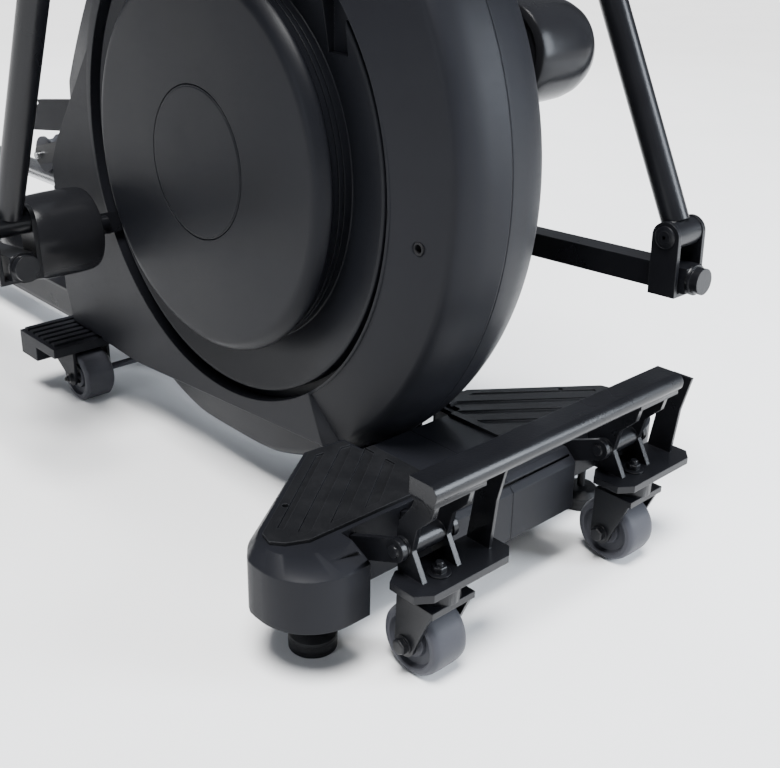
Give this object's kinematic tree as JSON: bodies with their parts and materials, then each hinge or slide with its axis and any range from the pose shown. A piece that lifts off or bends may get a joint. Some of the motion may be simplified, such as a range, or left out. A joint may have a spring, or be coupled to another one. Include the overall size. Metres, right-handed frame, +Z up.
{
  "type": "elliptical trainer",
  "caption": "Front drive elliptical trainer with round drum housing, side discs, swing arms, pedal arms on rail rollers, a display mast and a front stabilizer with retractable casters.",
  "frame": {"origin": "on the floor, under the centre of the bounding box", "axes": "+X towards the front (drum and mast) end, +Y to the left of a user who faces it, +Z up"},
  "size_m": [2.0879, 0.624, 1.5777],
  "materials": {
    "frame_paint": "satin black powder coat",
    "steel": "bright machined steel",
    "iron": "dark cast iron",
    "shell": "satin charcoal moulding",
    "disc_shell": "satin charcoal moulding",
    "pod_shell": "gloss black moulding",
    "pad": "ribbed matte rubber",
    "grip": "soft matte foam rubber",
    "wheel": "satin dark grey wheel",
    "belt": "matte rubber",
    "screen": "glossy display window",
    "key": "soft grey key",
    "electric": "dark plastic case"
  },
  "bodies": {
    "frame": {"main_frame": "frame_paint", "front_beam": "frame_paint", "front_cover_left": "shell", "front_cover_right": "shell", "step_pads": "pad", "front_feet": "pad", "neck_cover": "shell", "mid_block": "shell", "rear_stabilizer": "frame_paint", "rear_feet": "pad", "roller_rails": "steel", "housing_left": "shell", "housing_right": "shell", "housing_screws": "steel", "mast": "frame_paint", "mast_cover": "shell", "console_body": "shell", "console_screen": "screen", "handlebar": "frame_paint", "handlebar_grips": "grip", "crank_bearings": "steel", "flywheel_axle": "steel", "drive_belt": "belt", "servo_motor": "electric", "power_inlet": "electric", "swing_shaft": "steel"},
    "crank": {"crank_axle": "steel", "crank_arms": "frame_paint", "drive_pulley": "wheel", "disc_left": "disc_shell", "disc_right": "disc_shell", "disc_caps": "disc_shell"},
    "flywheel": {"flywheel": "iron"},
    "idler_arm": {"idler_arm": "steel"},
    "idler_wheel": {"idler_wheel": "wheel"},
    "brake_arm": {"magnet_arm": "steel"},
    "swing_left": {"swing_arm_left": "frame_paint", "swing_grip_left": "grip"},
    "swing_right": {"swing_arm_right": "frame_paint", "swing_grip_right": "grip"},
    "link_left": {"link_bar_left": "frame_paint"},
    "link_right": {"link_bar_right": "frame_paint"},
    "carriage_left": {"roller_axle_left": "steel"},
    "carriage_right": {"roller_axle_right": "steel"},
    "roller_left": {"roller_left": "wheel"},
    "roller_right": {"roller_right": "wheel"},
    "pedal_arm_left": {"pedal_arm_left": "frame_paint", "pod_left": "pod_shell", "pedal_left": "shell"},
    "pedal_arm_right": {"pedal_arm_right": "frame_paint", "pod_right": "pod_shell", "pedal_right": "shell"},
    "lift_carriage": {"lift_carriage": "frame_paint"},
    "caster_left_fork": {"caster_fork_left": "frame_paint"},
    "caster_right_fork": {"caster_fork_right": "frame_paint"},
    "caster_left_wheel": {"caster_wheel_left": "wheel"},
    "caster_right_wheel": {"caster_wheel_right": "wheel"},
    "transport_wheels": {"transport_wheels": "wheel"},
    "key_plus": {"console_key_plus": "key"},
    "key_minus": {"console_key_minus": "key"}
  },
  "joints": [
    {"name": "swing_left_pivot", "type": "hinge", "parent": "frame", "child": "swing_left", "pos_m": [0.6945, -0.282, 0.9], "axis": [0, -1, 0], "range_deg": [0, 51.6]},
    {"name": "swing_right_pivot", "type": "hinge", "parent": "frame", "child": "swing_right", "pos_m": [0.6945, 0.282, 0.9], "axis": [0, -1, 0], "range_deg": [-51.6, 0]},
    {"name": "left_roller_travel", "type": "slide", "parent": "frame", "child": "carriage_left", "axis": [1, 0, 0], "range_m": [0, 0.5514]},
    {"name": "right_roller_travel", "type": "slide", "parent": "frame", "child": "carriage_right", "axis": [1, 0, 0], "range_m": [-0.5514, 0]},
    {"name": "pedal_arm_left_tilt", "type": "hinge", "parent": "carriage_left", "child": "pedal_arm_left", "pos_m": [-0.93056, -0.176, 0.235], "axis": [0, -1, 0], "range_deg": [0, 12.22]},
    {"name": "pedal_arm_right_tilt", "type": "hinge", "parent": "carriage_right", "child": "pedal_arm_right", "pos_m": [-0.37979, 0.176, 0.235], "axis": [0, -1, 0], "range_deg": [-12.22, 0]},
    {"name": "link_left_pivot", "type": "hinge", "parent": "swing_left", "child": "link_left", "pos_m": [0.42901, -0.282, 0.35081], "axis": [0, -1, 0], "range_deg": [-55.44, 0]},
    {"name": "link_right_pivot", "type": "hinge", "parent": "swing_right", "child": "link_right", "pos_m": [0.95999, 0.282, 0.35081], "axis": [0, -1, 0], "range_deg": [0, 55.44]},
    {"name": "roller_left_spin", "type": "hinge", "parent": "carriage_left", "child": "roller_left", "pos_m": [-0.93056, -0.176, 0.235], "axis": [0, 1, 0], "continuous": true},
    {"name": "roller_right_spin", "type": "hinge", "parent": "carriage_right", "child": "roller_right", "pos_m": [-0.37979, 0.176, 0.235], "axis": [0, 1, 0], "continuous": true},
    {"name": "crank_turn", "type": "hinge", "parent": "frame", "child": "crank", "pos_m": [0.564, 0, 0.419], "axis": [0, -1, 0], "continuous": true},
    {"name": "flywheel_spin", "type": "hinge", "parent": "frame", "child": "flywheel", "pos_m": [0.369, 0, 0.352], "axis": [0, -1, 0], "continuous": true},
    {"name": "idler_arm_pivot", "type": "hinge", "parent": "frame", "child": "idler_arm", "pos_m": [0.556, -0.015, 0.25], "axis": [0, -1, 0], "range_deg": [0, 5], "stiffness_Nm_per_rad": 6, "springref_deg": -5.73},
    {"name": "idler_wheel_spin", "type": "hinge", "parent": "idler_arm", "child": "idler_wheel", "pos_m": [0.469, -0.024, 0.299], "axis": [0, 1, 0], "continuous": true},
    {"name": "brake_arm_pivot", "type": "hinge", "parent": "frame", "child": "brake_arm", "pos_m": [0.257, 0.004, 0.302], "axis": [0, -1, 0], "range_deg": [0, 12]},
    {"name": "lift_hinge", "type": "hinge", "parent": "frame", "child": "lift_carriage", "pos_m": [0.994, 0, 0.142], "axis": [0, -1, 0], "range_deg": [0, 35]},
    {"name": "caster_left_swivel", "type": "hinge", "parent": "lift_carriage", "child": "caster_left_fork", "pos_m": [1.017, -0.154, 0.098], "axis": [0, 0, 1], "continuous": true},
    {"name": "caster_left_wheel_spin", "type": "hinge", "parent": "caster_left_fork", "child": "caster_left_wheel", "pos_m": [1.002, -0.154, 0.0375], "axis": [0, 1, 0], "continuous": true},
    {"name": "caster_right_swivel", "type": "hinge", "parent": "lift_carriage", "child": "caster_right_fork", "pos_m": [1.017, 0.154, 0.098], "axis": [0, 0, 1], "continuous": true},
    {"name": "caster_right_wheel_spin", "type": "hinge", "parent": "caster_right_fork", "child": "caster_right_wheel", "pos_m": [1.002, 0.154, 0.0375], "axis": [0, 1, 0], "continuous": true},
    {"name": "transport_wheels_spin", "type": "hinge", "parent": "frame", "child": "transport_wheels", "pos_m": [0.221, 0, 0.0375], "axis": [0, 1, 0], "continuous": true},
    {"name": "key_plus_press", "type": "slide", "parent": "frame", "child": "key_plus", "axis": [-0.8999, 0, 0.4362], "range_m": [-0.002, 0], "stiffness_N_per_m": 250, "springref_m": 0.002},
    {"name": "key_minus_press", "type": "slide", "parent": "frame", "child": "key_minus", "axis": [-0.8999, 0, 0.4362], "range_m": [-0.002, 0], "stiffness_N_per_m": 250, "springref_m": 0.002}
  ],
  "couplings": [
    {"joint": "swing_right_pivot", "follows": "swing_left_pivot", "ratio": -1},
    {"joint": "left_roller_travel", "follows": "swing_left_pivot", "m_per_rad": 0.61156},
    {"joint": "right_roller_travel", "follows": "swing_left_pivot", "m_per_rad": -0.61156},
    {"joint": "pedal_arm_left_tilt", "follows": "swing_left_pivot", "ratio": 0.23644},
    {"joint": "pedal_arm_right_tilt", "follows": "swing_left_pivot", "ratio": -0.23644},
    {"joint": "link_left_pivot", "follows": "swing_left_pivot", "ratio": -1.0735},
    {"joint": "link_right_pivot", "follows": "swing_left_pivot", "ratio": 1.0735},
    {"joint": "flywheel_spin", "follows": "crank_turn", "ratio": 5}
  ]
}
